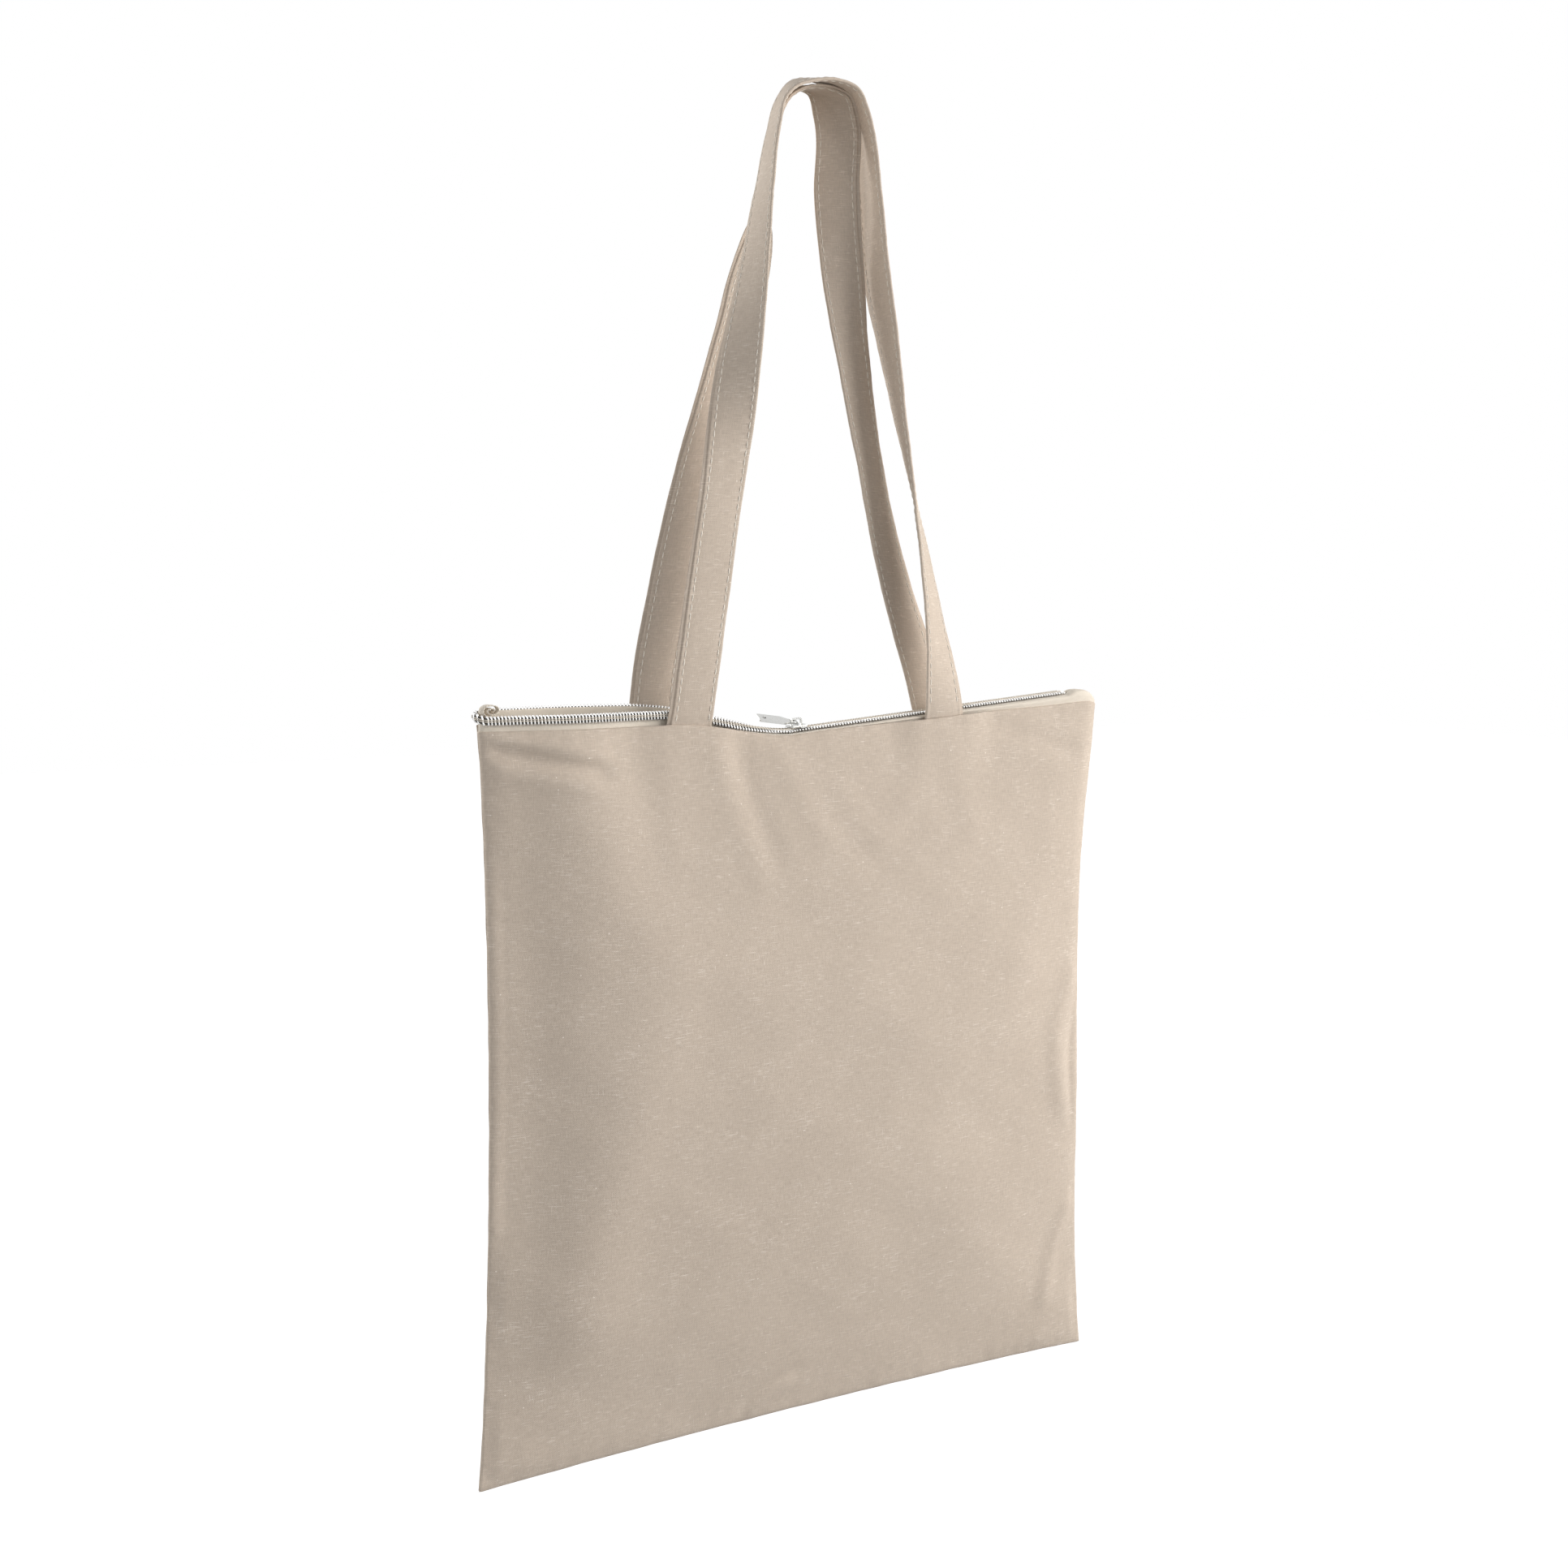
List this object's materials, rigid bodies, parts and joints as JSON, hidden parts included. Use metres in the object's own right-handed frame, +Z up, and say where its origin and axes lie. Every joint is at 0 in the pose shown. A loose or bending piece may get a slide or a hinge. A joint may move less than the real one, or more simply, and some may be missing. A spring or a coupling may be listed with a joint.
{
  "type": "zip-top cloth carrying bag",
  "caption": "Flat cotton bag with a coil zip across its mouth and two long flat handles, hanging from a peg with the zip partly undone.",
  "frame": {"origin": "axis of the peg that the handles lie over, midway along the straps' width", "axes": "+X along the mouth towards the closed end of the zip, -Y to the front, +Z up"},
  "size_m": [0.3808, 0.0467, 0.7567],
  "materials": {
    "panel_cloth": "plain weave cotton",
    "strap_cloth": "folded and stitched cotton",
    "seam_cloth": "overlocked seam allowance",
    "zip_tape": "woven polyester tape",
    "zip_coil": "metal-coated nylon coil",
    "slider_metal": "bright plated zinc",
    "pull_metal": "bright plated zinc",
    "thread": "spun sewing thread"
  },
  "bodies": {
    "bag": {"front_panel": "panel_cloth", "rear_panel": "panel_cloth", "left_side_seam": "seam_cloth", "right_side_seam": "seam_cloth", "bottom_seam": "seam_cloth", "front_mouth_seam": "seam_cloth", "rear_mouth_seam": "seam_cloth", "front_zip_tape": "zip_tape", "rear_zip_tape": "zip_tape", "front_zip_coil": "zip_coil", "rear_zip_coil": "zip_coil", "front_coil_thread": "thread", "rear_coil_thread": "thread"},
    "front_strap": {"front_handle": "strap_cloth", "front_handle_stitching": "thread"},
    "rear_strap": {"rear_handle": "strap_cloth", "rear_handle_stitching": "thread"},
    "slider": {"slider_body": "slider_metal", "slider_crown": "slider_metal"},
    "pull": {"pull_tab": "pull_metal"}
  },
  "joints": [
    {"name": "front_strap_fold", "type": "hinge", "parent": "bag", "child": "front_strap", "pos_m": [0, -0.0091, -0.3439], "axis": [1, 0, 0], "range_deg": [0, 165]},
    {"name": "rear_strap_fold", "type": "hinge", "parent": "bag", "child": "rear_strap", "pos_m": [0, 0.0099, -0.3439], "axis": [-1, 0, 0], "range_deg": [0, 165]},
    {"name": "slider_travel", "type": "slide", "parent": "bag", "child": "slider", "axis": [0.996, 0, 0.0889], "range_m": [0, 0.176], "deforming": ["front_zip_coil", "rear_zip_coil", "front_zip_tape", "rear_zip_tape", "front_coil_thread", "rear_coil_thread"]},
    {"name": "pull_swing", "type": "hinge", "parent": "slider", "child": "pull", "pos_m": [-0.00371, 0, -0.3454], "axis": [0, 1, 0], "range_deg": [0, 160]}
  ]
}
